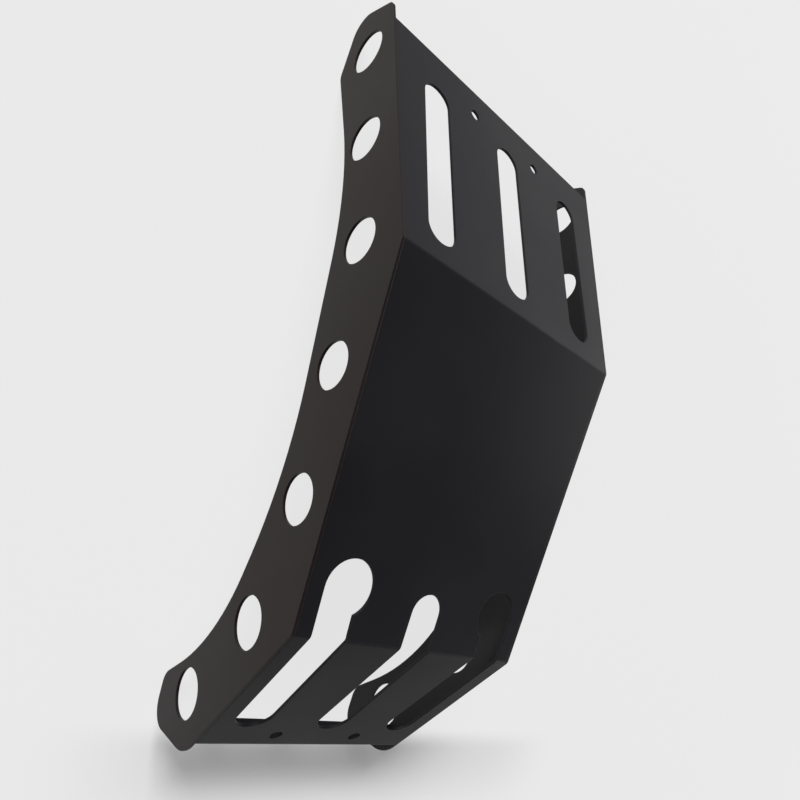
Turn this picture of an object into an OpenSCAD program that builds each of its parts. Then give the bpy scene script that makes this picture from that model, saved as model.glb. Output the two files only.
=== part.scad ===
// Motorcycle skid plate.
// A steel panel with two cross bends and a lip at its rear edge runs between two drilled side plates.
// It lies arch up, outer face up, on the four feet of its side plates.
// X runs across, Y toward the front flat with the three vents, Z up.

// which piece to draw

/* [Sheet] */
// thickness of all three plates
sheet_t = 2; // [1.5:0.5:3]
// inside radius of the cross bends
bend_r = 3; // [2:0.5:5]

/* [Centre panel] */
// width over the side plates at the front edge of the panel
front_w = 250; // [240:1:270]
// width over the side plates at the rear edge of the panel
rear_w = 175; // [165:1:190]
// length of the front flat along its slope
front_flat = 194; // [190:1:205]
// length of the middle flat between the bend lines
middle_flat = 230; // [222:1:245]
// length of the rear flat along its slope
rear_flat = 124; // [122:1:130]
// fall of the front flat from the middle flat, in degrees
front_bend = 25.5; // [23:0.5:28]
// fall of the rear flat from the middle flat, in degrees
rear_bend = 37; // [34:0.5:39]

// height of the lip folded inward at the rear edge, from the outer face
rear_lip = 18; // [12:0.5:22]

/* [Front vents] */
// width of each vent
vent_w = 25.5; // [20:0.5:30]
// length of each vent over its round ends
vent_len = 144; // [110:1:146]
// distance of the vents from the front bend line
vent_start = 15.3; // [10:0.1:16]
// distance of the outer vents from the middle one
vent_pitch = 79; // [70:1:82]
// outward lean of the outer vents toward the front, in degrees
vent_splay = 1.5; // [0:0.5:3]

/* [Rear keyholes] */
// width of the three slots across the rear bend
key_w = 25.5; // [20:0.5:28]
// diameter of the round heads of the two outer slots
key_head_d = 35; // [31:0.5:38]
// distance of the outer heads forward of the rear bend line
key_head_y = 30; // [25:1:36]
// distance of the outer heads from the centre line
key_pitch = 66.5; // [58:0.5:67]
// forward end of the plain middle slot from the rear bend line
key_middle_y = 36; // [25:1:50]
// end of all three slots along the rear flat
key_end = 98; // [60:1:102]
// outward lean of the outer slots toward the front, in degrees
key_lean = 4.5; // [3:0.5:5]

/* [Bolt holes] */
// diameter of the four mounting holes
bolt_d = 9; // [6.5:0.5:11]
// spacing of the two front holes
front_bolt_pitch = 75.5; // [70:0.5:82]
// distance of the front holes from the front edge
front_bolt_edge = 26; // [20:0.5:27]
// spacing of the two rear holes
rear_bolt_pitch = 68; // [50:0.5:90]
// distance of the rear holes from the rear edge
rear_bolt_edge = 16; // [12:0.5:20]

/* [Side plate feet] */
// height of the middle flat over the ground the plate lies on
stand_h = 138; // [136:1:142]
// reach of the side plates past the front edge of the panel
front_over = 16.3; // [12:0.1:20]
// reach of the side plates past the rear edge of the panel
rear_over = 10.8; // [10.7:0.1:13]
// outward tilt of the four feet, in degrees
foot_tilt = 5.2; // [3:0.1:7]
// length of the front feet along the ground
front_foot = 48.5; // [44:0.5:52]
// length of the rear feet along the ground
rear_foot = 32; // [30:0.5:36]
// corner radius at the front tips
front_tip_r = 8; // [5:0.5:14]
// corner radius at the rear tips
rear_tip_r = 24; // [15:0.5:24]
// radius of the lower outer corners of the feet
foot_corner_r = 16; // [10:0.5:16]
// radius of the inner corners that carry the plate
heel_r = 12; // [8:0.5:14]

/* [Side plate free edge] */
// rear knee of the free edge, along the rear flat from the bend line
rear_knee_along = 78; // [74:1:82]
// rear knee of the free edge, depth below the rear flat
rear_knee_depth = 44.4; // [43:0.1:47]
// radius of the free edge at the rear knee
rear_knee_r = 145; // [110:5:155]
// crown of the free edge, forward of the rear bend line
crown_along = 80.8; // [76:0.1:90]
// crown of the free edge, depth below the middle flat
crown_depth = 52.8; // [52:0.1:56]
// radius of the free edge at the crown
crown_r = 305; // [250:5:320]
// front knee of the free edge, along the front flat from the bend line
front_knee_along = 75.7; // [70:0.1:80]
// front knee of the free edge, depth below the front flat
front_knee_depth = 52.2; // [52:0.1:55]
// radius of the free edge at the front knee
front_knee_r = 283; // [240:1:300]

/* [Side plate holes] */
// diameter of the seven lightening holes
hole_d = 32; // [26:0.5:33]
// spacing of the holes along their curved line
hole_pitch = 82.8; // [81:0.1:83.2]
// distance of the rearmost hole from the end of the line
hole_first = 23; // [21:0.5:25]
// depth of the line below the rear flat at its rear end
row_rear_depth = 33; // [31:0.5:35]
// depth of the line under the rear bend
row_rear_bend_depth = 29.7; // [29:0.1:31]
// depth of the line under the front bend
row_front_bend_depth = 38.6; // [37:0.1:39]
// depth of the line below the front flat at its front end
row_front_depth = 28; // [27:0.5:30]
// radius of the line at the rear bend
row_rear_r = 129; // [100:1:140]
// radius of the line at the front bend
row_front_r = 247; // [200:1:260]

/* [Hidden] */
$fn = 96;

// ends of the flats in the middle plane, as [y, z]
a_end = [middle_flat + front_flat * cos(front_bend), -front_flat * sin(front_bend)];
d_end = [-rear_flat * cos(rear_bend), -rear_flat * sin(rear_bend)];

// the side plates stand upright and open toward the front by this angle
toe = atan((front_w - rear_w) / 2 / (a_end[0] - d_end[0]));
function half_w(y) = rear_w / 2 + (y - d_end[0]) * tan(toe);

function unit(v) = v / norm(v);
function left_of(v) = [-v[1], v[0]];
function cross_z(a, b) = a[0] * b[1] - a[1] * b[0];
function turn(a, b, c) = atan2(cross_z(b - a, c - b), (b - a) * (c - b));
function tangent_len(a, b, c, r) = r * tan(abs(turn(a, b, c)) / 2);
function arc_centre(a, b, c, r) =
    b + unit(unit(a - b) + unit(c - b)) * r / cos(turn(a, b, c) / 2);
function spin(v, t) = [v[0] * cos(t) - v[1] * sin(t), v[0] * sin(t) + v[1] * cos(t)];

// the same ends in the plane of a side plate, as [along the plate, z]
function in_plate(p) = [p[0] / cos(toe), p[1]];
plate_a = in_plate(a_end);
plate_b = in_plate([middle_flat, 0]);
plate_c = [0, 0];
plate_d = in_plate(d_end);
front_dir = unit(plate_a - plate_b);
rear_dir = unit(plate_d - plate_c);
front_down = -left_of(front_dir);
rear_down = left_of(rear_dir);

// free edge
rear_knee = plate_c + rear_knee_along * rear_dir + rear_knee_depth * rear_down;
crown = [crown_along, -crown_depth];
front_knee = plate_b + front_knee_along * front_dir + front_knee_depth * front_down;

// feet: the rounded inner corners touch the ground, so their sharp corners lie a little lower
front_tip = plate_a + front_over * front_dir;
rear_tip = plate_d + rear_over * rear_dir;
function heel_drop(leg) = heel_r * ((sin(leg) + sin(foot_tilt)) / sin(leg + foot_tilt) - 1);
function foot_corner(tip, side, len, drop) =
    let (fall = (tip[1] - len * sin(foot_tilt) + stand_h + drop) / cos(foot_tilt))
    tip + fall * [side * sin(foot_tilt), -cos(foot_tilt)];
function heel_from(tip, side, len, drop) =
    foot_corner(tip, side, len, drop) - len * [side * cos(foot_tilt), sin(foot_tilt)];
function leg_angle(heel, knee) = atan2(knee[1] - heel[1], abs(knee[0] - heel[0]));
function settled_drop(tip, side, len, knee, drop, n) =
    n == 0 ? drop
    : settled_drop(tip, side, len, knee, heel_drop(leg_angle(heel_from(tip, side, len, drop), knee)), n - 1);
front_drop = settled_drop(front_tip, 1, front_foot, front_knee, 0, 4);
rear_drop = settled_drop(rear_tip, -1, rear_foot, rear_knee, 0, 4);
front_corner = foot_corner(front_tip, 1, front_foot, front_drop);
rear_corner = foot_corner(rear_tip, -1, rear_foot, rear_drop);
front_heel = heel_from(front_tip, 1, front_foot, front_drop);
rear_heel = heel_from(rear_tip, -1, rear_foot, rear_drop);

// curved line of the lightening holes
row_a = plate_c + (rear_flat + 20) * rear_dir + row_rear_depth * rear_down;
row_b = plate_c + row_rear_bend_depth * [tan(rear_bend / 2), -1];
row_c = plate_b + row_front_bend_depth * [-tan(front_bend / 2), -1];
row_d = plate_b + (front_flat + 8) * front_dir + row_front_depth * front_down;
row_turn_1 = turn(row_a, row_b, row_c);
row_turn_2 = turn(row_b, row_c, row_d);
row_tan_1 = tangent_len(row_a, row_b, row_c, row_rear_r);
row_tan_2 = tangent_len(row_b, row_c, row_d, row_front_r);
row_line_1 = norm(row_b - row_a) - row_tan_1;
row_arc_1 = row_rear_r * abs(row_turn_1) * PI / 180;
row_line_2 = norm(row_c - row_b) - row_tan_1 - row_tan_2;
row_arc_2 = row_front_r * abs(row_turn_2) * PI / 180;
row_mid_1 = arc_centre(row_a, row_b, row_c, row_rear_r);
row_mid_2 = arc_centre(row_b, row_c, row_d, row_front_r);
row_in_1 = row_b - row_tan_1 * unit(row_b - row_a);
row_in_2 = row_c - row_tan_2 * unit(row_c - row_b);
row_out_2 = row_c + row_tan_2 * unit(row_d - row_c);
function on_row(s) =
    s < row_line_1 ? row_a + s * unit(row_b - row_a)
    : s < row_line_1 + row_arc_1
        ? row_mid_1 + spin(row_in_1 - row_mid_1, (s - row_line_1) / row_arc_1 * row_turn_1)
    : s < row_line_1 + row_arc_1 + row_line_2
        ? row_b + (row_tan_1 + s - row_line_1 - row_arc_1) * unit(row_c - row_b)
    : s < row_line_1 + row_arc_1 + row_line_2 + row_arc_2
        ? row_mid_2 + spin(row_in_2 - row_mid_2,
            (s - row_line_1 - row_arc_1 - row_line_2) / row_arc_2 * row_turn_2)
    : row_out_2 + (s - row_line_1 - row_arc_1 - row_line_2 - row_arc_2) * unit(row_d - row_c);

// the whole part is centred along Y and stands on Z = 0
front_reach = arc_centre(front_tip, front_corner, front_heel, foot_corner_r)[0] + foot_corner_r;
rear_reach = arc_centre(rear_tip, rear_corner, rear_heel, foot_corner_r)[0] - foot_corner_r;
y_front = front_reach * cos(toe) + sheet_t * sin(toe);
y_rear = rear_reach * cos(toe);
y_mid = (y_front + y_rear) / 2;
cut_h = 12;
hair = 0.005;
sheet_color = [0.03, 0.03, 0.032];

module place() {
    translate([0, -y_mid, stand_h])
        children();
}

// what lies between a sharp corner and its rounding, run on past the corner by reach;
// the rounding crosses both edges by a hair, which gives a clean meeting point
module corner_piece(a, b, c, r, reach) {
    len = tangent_len(a, b, c, r);
    mid = arc_centre(a, b, c, r);
    difference() {
        polygon([b + len * unit(a - b), b + reach * unit(b - mid), b + len * unit(c - b), mid]);
        translate(mid)
            circle(r + hair);
    }
}

module round_slot(w, len) {
    square([w, len - w], center = true);
    translate([0, len / 2 - w / 2])
        circle(d = w);
    translate([0, w / 2 - len / 2])
        circle(d = w);
}

// the space under the arch, down past the ground
module under_arch() {
    deep = [0, -stand_h];
    difference() {
        polygon([rear_heel, rear_knee, crown, front_knee, front_heel, front_heel + deep, rear_heel + deep]);
        corner_piece(rear_heel, rear_knee, crown, rear_knee_r, 4);
        corner_piece(rear_knee, crown, front_knee, crown_r, 4);
        corner_piece(crown, front_knee, front_heel, front_knee_r, 4);
    }
}

// side plate outline: a polygon of straight runs, less the arch, with each corner rounded
module side_outline() {
    outer_r = bend_r + sheet_t;
    difference() {
        polygon([rear_heel, front_heel, front_corner, front_tip, plate_b, plate_c, rear_tip, rear_corner]);
        under_arch();
        corner_piece(front_knee, front_heel, front_corner, heel_r, 4);
        corner_piece(front_heel, front_corner, front_tip, foot_corner_r, 4);
        corner_piece(front_corner, front_tip, plate_b, front_tip_r, 4);
        corner_piece(front_tip, plate_b, plate_c, outer_r, 4);
        corner_piece(plate_b, plate_c, rear_tip, outer_r, 4);
        corner_piece(plate_c, rear_tip, rear_corner, rear_tip_r, 4);
        corner_piece(rear_tip, rear_corner, rear_heel, foot_corner_r, 4);
        corner_piece(rear_corner, rear_heel, rear_knee, heel_r, 4);
        for (i = [0:6])
            translate(on_row(hole_first + i * hole_pitch))
                circle(d = hole_d);
    }
}

// side is -1 for the left plate and 1 for the right one
module side_plate(side) {
    translate([side * half_w(0), 0, 0])
        rotate([0, 0, -side * toe])
        translate([side > 0 ? -sheet_t : 0, 0, 0])
        rotate([90, 0, 90])
        linear_extrude(sheet_t)
        side_outline();
}

// folded strip seen from the side, with true arcs at its bends and a square lip at the rear
module panel_profile() {
    outer_r = bend_r + sheet_t;
    b_out = [middle_flat, 0];
    c_out = [0, 0];
    a_in = a_end - sheet_t * [sin(front_bend), cos(front_bend)];
    b_in = [middle_flat - sheet_t * tan(front_bend / 2), -sheet_t];
    c_in = [sheet_t * tan(rear_bend / 2), -sheet_t];
    forward = [cos(rear_bend), sin(rear_bend)];
    inward = [sin(rear_bend), -cos(rear_bend)];
    d_in = d_end + sheet_t * (inward + forward);
    e_end = d_end + rear_lip * inward;
    e_in = e_end + sheet_t * forward;
    difference() {
        union() {
            polygon([a_end, b_out, c_out, d_end, e_end, e_in, d_in, c_in, b_in, a_in]);
            corner_piece(a_in, b_in, c_in, bend_r, sheet_t / 2);
            corner_piece(b_in, c_in, d_in, bend_r, sheet_t / 2);
            corner_piece(c_in, d_in, e_in, bend_r, sheet_t / 2);
        }
        corner_piece(a_end, b_out, c_out, outer_r, 4);
        corner_piece(b_out, c_out, d_end, outer_r, 4);
        corner_piece(c_out, d_end, e_end, outer_r, 4);
    }
}

module on_front_flat() {
    translate([0, middle_flat, 0])
        rotate([-front_bend, 0, 0])
        children();
}

module on_rear_flat() {
    rotate([rear_bend, 0, 0])
        children();
}

// a slot that crosses the bend line at x_bend, and ends in a head on the middle flat;
// its stretch on the middle flat is a hair wider, so the two stretches meet cleanly
module rear_slot(x_bend, run, lean, head_shift, head_r) {
    flat_lean = atan(tan(lean) * cos(rear_bend));
    straight = key_end - key_w / 2;
    translate([x_bend, 0, -cut_h / 2])
        rotate([0, 0, -lean])
        linear_extrude(cut_h)
        union() {
            translate([-key_w / 2 - hair, 0])
                square([key_w + 2 * hair, run]);
            translate([head_shift, run])
                circle(r = head_r + hair);
        }
    on_rear_flat()
        translate([x_bend, 0, -cut_h / 2])
        rotate([0, 0, -flat_lean])
        linear_extrude(cut_h)
        union() {
            translate([-key_w / 2, -straight])
                square([key_w, straight]);
            translate([0, -straight])
                circle(d = key_w);
        }
}

// the outer edge of the slot runs into its round head without a step
module keyhole(side) {
    head_in = (key_head_d - key_w) / 2;
    x_bend = key_pitch + head_in / cos(key_lean) - key_head_y * tan(key_lean);
    run = (key_pitch - x_bend) * sin(key_lean) + key_head_y * cos(key_lean);
    rear_slot(side * x_bend, run, side * key_lean, -side * head_in, key_head_d / 2);
}

module panel_cuts() {
    for (side = [-1, 0, 1])
        on_front_flat()
            translate([side * vent_pitch, vent_start + vent_len / 2, -cut_h / 2])
            rotate([0, 0, -side * vent_splay])
            linear_extrude(cut_h)
            round_slot(vent_w, vent_len);
    for (side = [-1, 1]) {
        on_front_flat()
            translate([side * front_bolt_pitch / 2, front_flat - front_bolt_edge, -cut_h / 2])
            cylinder(h = cut_h, d = bolt_d);
        on_rear_flat()
            translate([side * rear_bolt_pitch / 2, rear_bolt_edge - rear_flat, -cut_h / 2])
            cylinder(h = cut_h, d = bolt_d);
        keyhole(side);
    }
    rear_slot(0, key_middle_y - key_w / 2, 0, 0, key_w / 2);
}

module centre_panel() {
    gap = sheet_t / cos(toe);
    color(sheet_color)
        place()
        difference() {
            intersection() {
                rotate([90, 0, 90])
                    translate([0, 0, -front_w])
                    linear_extrude(2 * front_w)
                    panel_profile();
                translate([0, 0, -2 * stand_h])
                    linear_extrude(3 * stand_h)
                    polygon([
                        [half_w(d_end[0] - 30) - gap, d_end[0] - 30],
                        [half_w(a_end[0] + 30) - gap, a_end[0] + 30],
                        [gap - half_w(a_end[0] + 30), a_end[0] + 30],
                        [gap - half_w(d_end[0] - 30), d_end[0] - 30]]);
            }
            panel_cuts();
        }
}

module left_side_plate() {
    color(sheet_color)
        place()
        side_plate(-1);
}

module right_side_plate() {
    color(sheet_color)
        place()
        side_plate(1);
}

centre_panel();
left_side_plate();
right_side_plate();
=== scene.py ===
# %% [markdown]
# # Motorcycle skid plate in black powder coat
# A skid plate is bolted under the engine and takes the blows of stones and kerbs. The CAD frame holds
# every real shape: a panel with two cross bends and a rear lip, between two side plates with round holes.
# This lesson gives it the looks of the real thing: the coat with its fine orange peel, softened edges,
# the welds inside the corners, and the studio around it.
# The plate lies arch up on its four feet, with +Y toward the front flat.

# %% load the frame
import math
import bpy
from mathutils import Matrix, Vector


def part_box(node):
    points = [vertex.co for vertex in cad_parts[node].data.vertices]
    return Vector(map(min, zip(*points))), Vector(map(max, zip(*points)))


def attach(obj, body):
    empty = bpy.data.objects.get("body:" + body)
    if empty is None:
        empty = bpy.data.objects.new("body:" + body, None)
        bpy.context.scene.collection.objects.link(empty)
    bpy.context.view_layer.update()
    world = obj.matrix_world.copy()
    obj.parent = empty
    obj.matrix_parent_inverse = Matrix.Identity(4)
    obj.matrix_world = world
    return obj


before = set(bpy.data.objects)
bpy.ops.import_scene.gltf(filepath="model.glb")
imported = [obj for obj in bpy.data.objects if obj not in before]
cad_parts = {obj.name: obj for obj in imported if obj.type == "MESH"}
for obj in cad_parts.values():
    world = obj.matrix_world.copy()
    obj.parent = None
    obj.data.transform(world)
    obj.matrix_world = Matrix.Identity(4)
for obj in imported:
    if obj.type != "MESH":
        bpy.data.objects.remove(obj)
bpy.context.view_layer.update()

MM = 0.001

# %% [markdown]
# ## Shader maths
# A finish is a sum of small patterns, so it reads best as plain sums and products. Nodes could be made
# one by one, but that hides the sum. `Value` wraps a shader socket, and its operators make Math nodes.
# `Nodes` makes every node of a tree in one method: the settings go in first, then the values or links of
# the sockets. `Finish` is the tree of one material, with the few patterns that the coat needs.
# All patterns use object coordinates, in metres, so they keep their scale on every piece.

# %% sums and products of sockets
class Value:
    def __init__(self, nodes, socket):
        self.nodes = nodes
        self.socket = socket

    def math(self, kind, first, second):
        return self.nodes.node("ShaderNodeMath", {"operation": kind}, {0: first, 1: second})

    def __add__(self, other):
        return self.math("ADD", self, other)

    def __radd__(self, other):
        return self.math("ADD", other, self)

    def __sub__(self, other):
        return self.math("SUBTRACT", self, other)

    def __rsub__(self, other):
        return self.math("SUBTRACT", other, self)

    def __mul__(self, other):
        return self.math("MULTIPLY", self, other)

    def __rmul__(self, other):
        return self.math("MULTIPLY", other, self)

    def between(self, low, high):
        """0 at low and under, 1 at high and over, with a soft step between them"""
        return self.nodes.node("ShaderNodeMapRange", {"interpolation_type": "SMOOTHSTEP"},
                               {"Value": self, "From Min": low, "From Max": high})


# %% nodes of a tree, and a finish made of them
class Nodes:
    def __init__(self, tree):
        self.tree = tree

    def feed(self, socket, value):
        """Link a Value to the socket, or set a plain value on it"""
        if isinstance(value, Value):
            self.tree.links.new(value.socket, socket)
        else:
            socket.default_value = value

    def node(self, kind, settings, sockets, result=0):
        made = self.tree.nodes.new(kind)
        for name, value in settings.items():
            setattr(made, name, value)
        for name, value in sockets.items():
            self.feed(made.inputs[name], value)
        return Value(self, made.outputs[result])


class Finish(Nodes):
    def __init__(self, name):
        self.material = bpy.data.materials.new(name)
        self.material.use_nodes = True
        super().__init__(self.material.node_tree)
        self.shader = self.tree.nodes["Principled BSDF"]
        self.place = self.node("ShaderNodeTexCoord", {}, {}, "Object")

    def noise(self, size_mm, detail):
        """Noise around 0.5, with features of about size_mm"""
        return self.node("ShaderNodeTexNoise", {},
                         {"Vector": self.place, "Scale": 1 / (size_mm * MM), "Detail": detail})

    def mix(self, share, low, high):
        return self.node("ShaderNodeMix", {"data_type": "RGBA"}, {0: share, 6: low, 7: high}, 2)

    def bump(self, height, depth_mm, normal):
        return self.node("ShaderNodeBump", {},
                         {"Height": height, "Strength": 1.0, "Distance": depth_mm * MM, "Normal": normal})

    def edge(self, radius_mm):
        """Normal with every sharp edge softened to the radius"""
        return self.node("ShaderNodeBevel", {"samples": 6}, {"Radius": radius_mm * MM})


# %% [markdown]
# ## Powder coat
# Sheet steel is sprayed with dry resin powder and baked, which leaves a thick, even, slightly
# wavy skin: orange peel of about 2 mm waves and a satin sheen that varies a little over the plate.
# Laser-cut edges come out rounded by the coat, by about half a millimetre.
# A picture could carry this, but noise on object coordinates has no seams and keeps its scale: slow noise
# varies the sheen, the waves are one bump, and a finer bump gives the matt grain.
# A plain black with little gloss keeps the flats as deep as in the photograph, where the left side plate
# is a shade warmer. The right side plate is a shade lighter than the panel: that is painted light, which
# lifts its inner face, seen through the vents in the shade under the panel.

# %% coat
CLOUD_MM = 95
PEEL_MM = 2.2
PEEL_DEPTH_MM = 0.012
GRAIN_MM = 0.45
GRAIN_DEPTH_MM = 0.004
EDGE_MM = 0.6
SATIN = 0.48
COAT_IOR = 1.3


def powder_coat(name, dark, light):
    f = Finish(name)
    grain = f.noise(GRAIN_MM, 1)
    cloud = f.noise(CLOUD_MM, 3).between(0.35, 0.65)
    f.feed(f.shader.inputs["Base Color"], f.mix(cloud, dark, light))
    f.feed(f.shader.inputs["Roughness"], SATIN + cloud * 0.05 + (grain - 0.5) * 0.06)
    f.shader.inputs["IOR"].default_value = COAT_IOR
    peel = f.bump(f.noise(PEEL_MM, 2), PEEL_DEPTH_MM, f.edge(EDGE_MM))
    f.feed(f.shader.inputs["Normal"], f.bump(grain, GRAIN_DEPTH_MM, peel))
    return f.material


# each coat's darker and lighter colour
COOL = ((0.0076, 0.0074, 0.0096, 1), (0.0096, 0.0093, 0.012, 1))
# painted light: the right coat's colours are lighter than the panel's, to lift the right side plate's
# inner face where it lies in shade under the panel
PAINTED_LIGHT_COAT = ((0.0105, 0.0102, 0.0106, 1), (0.013, 0.0127, 0.0132, 1))
WARM = ((0.0096, 0.0058, 0.0052, 1), (0.0122, 0.0073, 0.0066, 1))
coats = {
    "centre_panel": powder_coat("coat_panel", *COOL),
    "left_side_plate": powder_coat("coat_left", *WARM),
    "right_side_plate": powder_coat("coat_right_painted_light", *PAINTED_LIGHT_COAT),
}
for name, coat in coats.items():
    node = bpy.data.objects[name]
    node.data.materials.clear()
    node.data.materials.append(coat)
    print(name, "faces", len(node.data.polygons), "coat", coat.name)

# %% [markdown]
# ## Where the plates meet
# The panel is one sheet: a front flat, a middle flat and a rear flat that meet at two cross bends, and
# a small lip folded inward at the rear edge. Each side plate stands on a long edge of it, and both toe in
# towards the rear. The corner that a weld fills is the line where the panel's inner face meets the
# plate's inner face. It could be picked off the CAD mesh, but a few driving sizes give it exactly:
# its corners are counted in a plane along +Y and +Z from the rear bend, then shifted to the frame.

# %% corner lines, in mm, as (along +Y, along +Z) from the rear bend
SHEET = 2.0
FRONT_BEND = math.radians(25.5)
REAR_BEND = math.radians(37.0)
FRONT_FLAT = 194.0
MIDDLE_FLAT = 230.0
REAR_FLAT = 124.0
FRONT_W = 250.0
REAR_W = 175.0

front_out = Vector((math.cos(FRONT_BEND), -math.sin(FRONT_BEND)))
front_in = Vector((-math.sin(FRONT_BEND), -math.cos(FRONT_BEND)))
rear_out = Vector((-math.cos(REAR_BEND), -math.sin(REAR_BEND)))
rear_in = Vector((math.sin(REAR_BEND), -math.cos(REAR_BEND)))
front_end = Vector((MIDDLE_FLAT, 0)) + FRONT_FLAT * front_out
rear_end = REAR_FLAT * rear_out
front_corner = front_end + SHEET * front_in
middle_front = Vector((MIDDLE_FLAT - SHEET * math.tan(FRONT_BEND / 2), -SHEET))
middle_rear = Vector((SHEET * math.tan(REAR_BEND / 2), -SHEET))
rear_corner = rear_end + SHEET * (rear_in - rear_out)
toe = math.atan((FRONT_W - REAR_W) / 2 / (front_end.x - rear_end.x))

panel_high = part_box("centre_panel")[1]
y_shift = panel_high[1] / MM - front_end.x
z_shift = panel_high[2] / MM
print("toe in degrees", round(math.degrees(toe), 2), "shift in mm", round(y_shift, 2), round(z_shift, 2))

# %% [markdown]
# ## Weld beads
# The side plates are joined to the panel from inside, in short runs, so that the thin sheet stays
# straight in the heat. The photograph shows no bead outside, so none is made there.
# A bead is a row of frozen ripples. It could be a carved tube, but a welder lays it ripple by ripple, and
# so does this: one ripple starts as a sphere, is squeezed thin, leaned over like a fallen coin, and cut
# off where it meets the two plates.

# %% one ripple, in the corner of the planes X = 0 and Z = 0
RIPPLE_RADIUS = 3.0
RIPPLE_PITCH = 1.4
RIPPLE_THIN = 0.42
RIPPLE_LEAN = math.radians(32)
SINK = 0.2


def select_only(piece):
    bpy.ops.object.select_all(action="DESELECT")
    piece.select_set(True)
    bpy.context.view_layer.objects.active = piece


bpy.ops.object.select_all(action="DESELECT")
bpy.ops.mesh.primitive_uv_sphere_add(segments=12, ring_count=8, radius=RIPPLE_RADIUS * MM)
ripple = bpy.context.object
ripple.name = "ripple"
bpy.ops.object.mode_set(mode="EDIT")
bpy.ops.mesh.select_all(action="SELECT")
bpy.ops.transform.resize(value=(1, RIPPLE_THIN, 1), center_override=(0, 0, 0))
bpy.ops.transform.rotate(value=RIPPLE_LEAN, orient_axis="X", center_override=(0, 0, 0))
for facing in (Vector((1, 0, 0)), Vector((0, 0, 1))):
    bpy.ops.mesh.select_all(action="SELECT")
    bpy.ops.mesh.bisect(plane_co=facing * -SINK * MM, plane_no=facing, use_fill=True, clear_inner=True)
bpy.ops.mesh.select_all(action="SELECT")
bpy.ops.mesh.normals_make_consistent(inside=False)
bpy.ops.object.mode_set(mode="OBJECT")
print("ripple faces", len(ripple.data.polygons))

# %% [markdown]
# An Array modifier repeats a copy of the ripple along +Y, which makes one run. The run's mesh is then
# laid into its corner by a matrix whose columns point across to the panel's middle, along the corner
# line and down, away from the panel.

# %% a run of ripples, laid at a place
def weld_run(count, begin, across, along, down):
    run = ripple.copy()
    run.data = ripple.data.copy()
    bpy.context.scene.collection.objects.link(run)
    select_only(run)
    bpy.ops.object.modifier_add(type="ARRAY")
    row = run.modifiers[-1]
    row.use_relative_offset = False
    row.use_constant_offset = True
    row.constant_offset_displace = (0, RIPPLE_PITCH * MM, 0)
    row.count = count
    bpy.ops.object.modifier_apply(modifier=row.name)
    lay = Matrix((across, along, down)).transposed().to_4x4()
    lay.translation = begin
    run.data.transform(lay)
    return run


# %% [markdown]
# The runs are spread over the three flats: three under the front and the middle flat, two under the short
# rear flat. Each is given by its centre, as a share of the flat from its rear end, and by its length.
# On one side the matrix mirrors the run, so the joined bead has its normals made to point out.

# %% the runs of both sides, joined to one bead a side
LONG_RUN = 30
SHORT_RUN = 26
SMOOTH_UNDER = math.radians(50)


def seam_point(side, corner):
    half_width = REAR_W / 2 + (corner.x - rear_end.x) * math.tan(toe) - SHEET / math.cos(toe)
    return Vector((side * half_width, corner.x + y_shift, corner.y + z_shift)) * MM


flats = [
    (middle_front, front_corner, front_in, ((0.14, LONG_RUN), (0.48, LONG_RUN), (0.84, LONG_RUN))),
    (middle_rear, middle_front, Vector((0, -1)), ((0.14, LONG_RUN), (0.5, LONG_RUN), (0.86, LONG_RUN))),
    (rear_corner, middle_rear, rear_in, ((0.22, SHORT_RUN), (0.78, SHORT_RUN))),
]
weld_coat = powder_coat("coat_weld", *COOL)
for side, name in ((-1, "weld_left"), (1, "weld_right")):
    runs = []
    for start, end, inward, places in flats:
        low_end, high_end = seam_point(side, start), seam_point(side, end)
        along = (high_end - low_end).normalized()
        down = Vector((0, inward.x, inward.y))
        across = down.cross(along).normalized()
        if across.x * side > 0:
            across = -across
        for share, length in places:
            count = round(length / RIPPLE_PITCH)
            begin = low_end.lerp(high_end, share) - along * (count - 1) * RIPPLE_PITCH * MM / 2
            runs.append(weld_run(count, begin, across, along, down))
    bead = runs[0]
    select_only(bead)
    for run in runs:
        run.select_set(True)
    bpy.ops.object.join()
    bead.name = name
    bpy.ops.object.mode_set(mode="EDIT")
    bpy.ops.mesh.select_all(action="SELECT")
    bpy.ops.mesh.normals_make_consistent(inside=False)
    bpy.ops.object.mode_set(mode="OBJECT")
    bpy.ops.object.shade_smooth_by_angle(angle=SMOOTH_UNDER)
    bead.data.materials.clear()
    bead.data.materials.append(weld_coat)
    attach(bead, "root")
    print(name, "runs", len(runs), "faces", len(bead.data.polygons))
bpy.data.objects.remove(ripple)

# %% [markdown]
# ## Camera
# The photograph shows the plate held upright. It can't stand so, so here it lies, and the camera looks
# down on its rear left corner with a steep roll, which gives the same view.
# The direction could be found by eye, but the numbers come from a perspective fit to the corners, holes
# and slots in the photograph.

# %% camera
CAMERA_PLACE = (-0.301903, -0.064472, 0.427)
right = Vector((0.730269, 0.317974, 0.604648))
up = Vector((-0.33188, 0.938742, -0.092837))
back = Vector((-0.597128, -0.132874, 0.791064))
turn = Matrix((right, up, back)).transposed()
camera_data = bpy.data.cameras.new("camera")
camera_data.sensor_width = 36
camera_data.lens = 28.24683
camera_data.shift_x = 0.01435
camera_data.shift_y = -0.00047
camera_data.clip_start = 0.01
camera = bpy.data.objects.new("camera", camera_data)
camera.matrix_world = Matrix.Translation(CAMERA_PLACE) @ turn.to_4x4()
bpy.context.scene.collection.objects.link(camera)
bpy.context.scene.camera = camera
print("camera looks down by", round(math.degrees(math.asin(back.z)), 1), "degrees")

# %% [markdown]
# ## Studio
# A pale seamless floor under soft light, at a level where the floor's own colour renders about as
# written. It could be lit evenly with many lamps, but the plate would lose its shading. So the camera and
# the sheen of the coat see a large share of the floor as one even colour, and the holes read nearly as
# bright as the ground around them, as in the photograph. Behind the rear edge the share is small, and
# there the soft shadow of the plate shows in full. Elsewhere a tenth of it shows.

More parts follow.
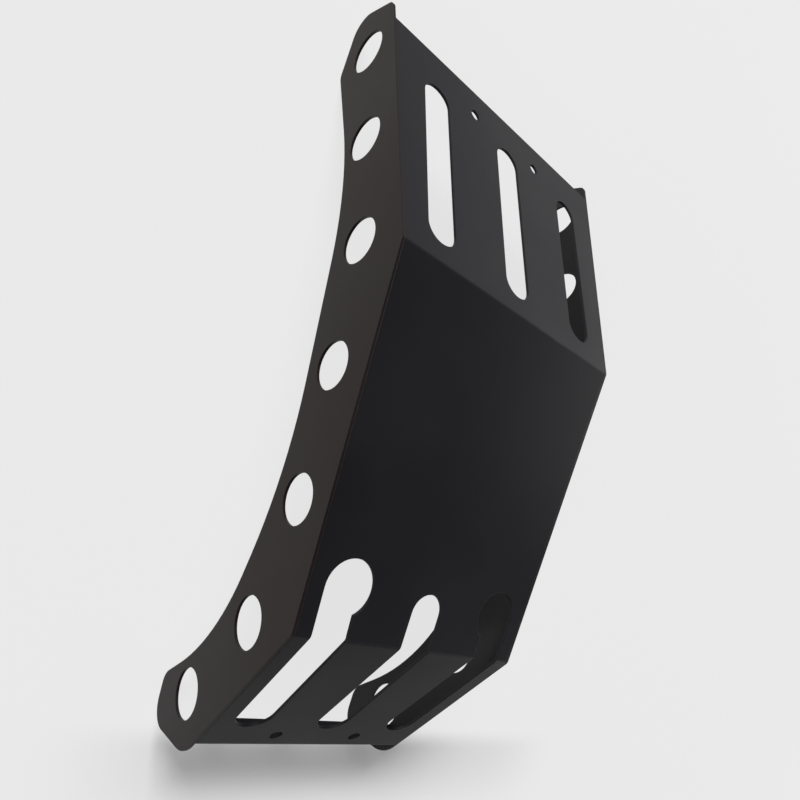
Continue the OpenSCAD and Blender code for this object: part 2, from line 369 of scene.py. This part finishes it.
# %% floor
PALE = 0.83
EVEN_SHARE = 0.9
SHADOW_SHARE = 0.03
NEAR_EDGE = (-0.29, -0.268)
FAR_EDGE = (-0.37, -0.29)
LEFT_EDGE = (-0.17, -0.04)
RIGHT_EDGE = (0.27, 0.42)
bpy.ops.object.select_all(action="DESELECT")
bpy.ops.mesh.primitive_plane_add(size=8, location=(0, 0, 0))
floor = bpy.context.object
floor.name = "floor"
f = Finish("floor_paint")
f.shader.inputs["Base Color"].default_value = (0.88, 0.88, 0.88, 1)
f.shader.inputs["Roughness"].default_value = 0.9
f.shader.inputs["Specular IOR Level"].default_value = 0.0
by_camera = f.node("ShaderNodeLightPath", {}, {}, "Is Camera Ray")
in_sheen = f.node("ShaderNodeLightPath", {}, {}, "Is Glossy Ray")
glow = f.node("ShaderNodeEmission", {}, {"Color": (PALE, PALE, PALE, 1), "Strength": 1.0})
across = f.node("ShaderNodeSeparateXYZ", {}, {"Vector": f.place}, "X")
depth = f.node("ShaderNodeSeparateXYZ", {}, {"Vector": f.place}, "Y")
# the shadow shows between the near and the far edge, and between the left and the right one
behind = (1 - depth.between(*NEAR_EDGE)) * depth.between(*FAR_EDGE)
beside = across.between(*LEFT_EDGE) * (1 - across.between(*RIGHT_EDGE))
share = EVEN_SHARE - (EVEN_SHARE - SHADOW_SHARE) * (behind * beside)
paint = Value(f, f.shader.outputs[0])
look = f.node("ShaderNodeMixShader", {}, {0: (by_camera + in_sheen) * share, 1: paint, 2: glow})
f.feed(f.tree.nodes["Material Output"].inputs["Surface"], look)
floor.data.materials.append(f.material)
print("floor colour", PALE)


# %% [markdown]
# The large soft boxes stand far off: the key, ahead and to the left, throws the shadow behind the rear
# edge, and the fill keeps the left side plate readable. The low ones are seen by the coat at a flat
# angle, and draw the gradients along the front flat, the middle flat's right edge and the rear flat.
# One strong lamp would be simpler, but it leaves half the flats without shading.

# %% lights
def softbox(name, place, aim, size, watts):
    data = bpy.data.lights.new(name, "AREA")
    data.shape = "RECTANGLE"
    data.size, data.size_y = size
    data.energy = watts
    lamp = bpy.data.objects.new(name, data)
    lamp.location = place
    lamp.rotation_mode = "QUATERNION"
    lamp.rotation_quaternion = (Vector(place) - Vector(aim)).to_track_quat("Z", "Y")
    bpy.context.scene.collection.objects.link(lamp)


softbox("key", (-2.0, 3.1, 2.9), (0, 0, 0.05), (2.0, 1.5), 208)
softbox("fill", (-3.0, -2.6, 2.2), (0, 0, 0.05), (2.2, 1.7), 66)
softbox("front_sheen", (1.1, 1.35, 0.42), (0, 0.15, 0.1), (1.2, 0.5), 2.6)
softbox("side_sheen", (2.0, 0.6, 0.5), (0, 0.15, 0.1), (1.2, 0.5), 9.5)
softbox("rear_sheen", (1.6, -0.9, 0.5), (0, -0.1, 0.1), (0.8, 0.5), 3.6)

bpy.context.scene.view_settings.view_transform = "Standard"

# %% [markdown]
# ## Air
# Round the studio the air is as pale as the floor to the camera, so that a low view has no dark horizon,
# but it gives the plate hardly any light of its own.

# %% world
AMBIENT = 0.05
world = bpy.data.worlds.new("studio")
bpy.context.scene.world = world
world.use_nodes = True
backdrop = world.node_tree.nodes["Background"]
backdrop.inputs["Color"].default_value = (0.98, 0.99, 1, 1)
air = Nodes(world.node_tree)
by_camera = air.node("ShaderNodeLightPath", {}, {}, "Is Camera Ray")
air.feed(backdrop.inputs["Strength"], AMBIENT + by_camera * (PALE - AMBIENT))
print("air", PALE, "to the camera and", AMBIENT, "to the plate")
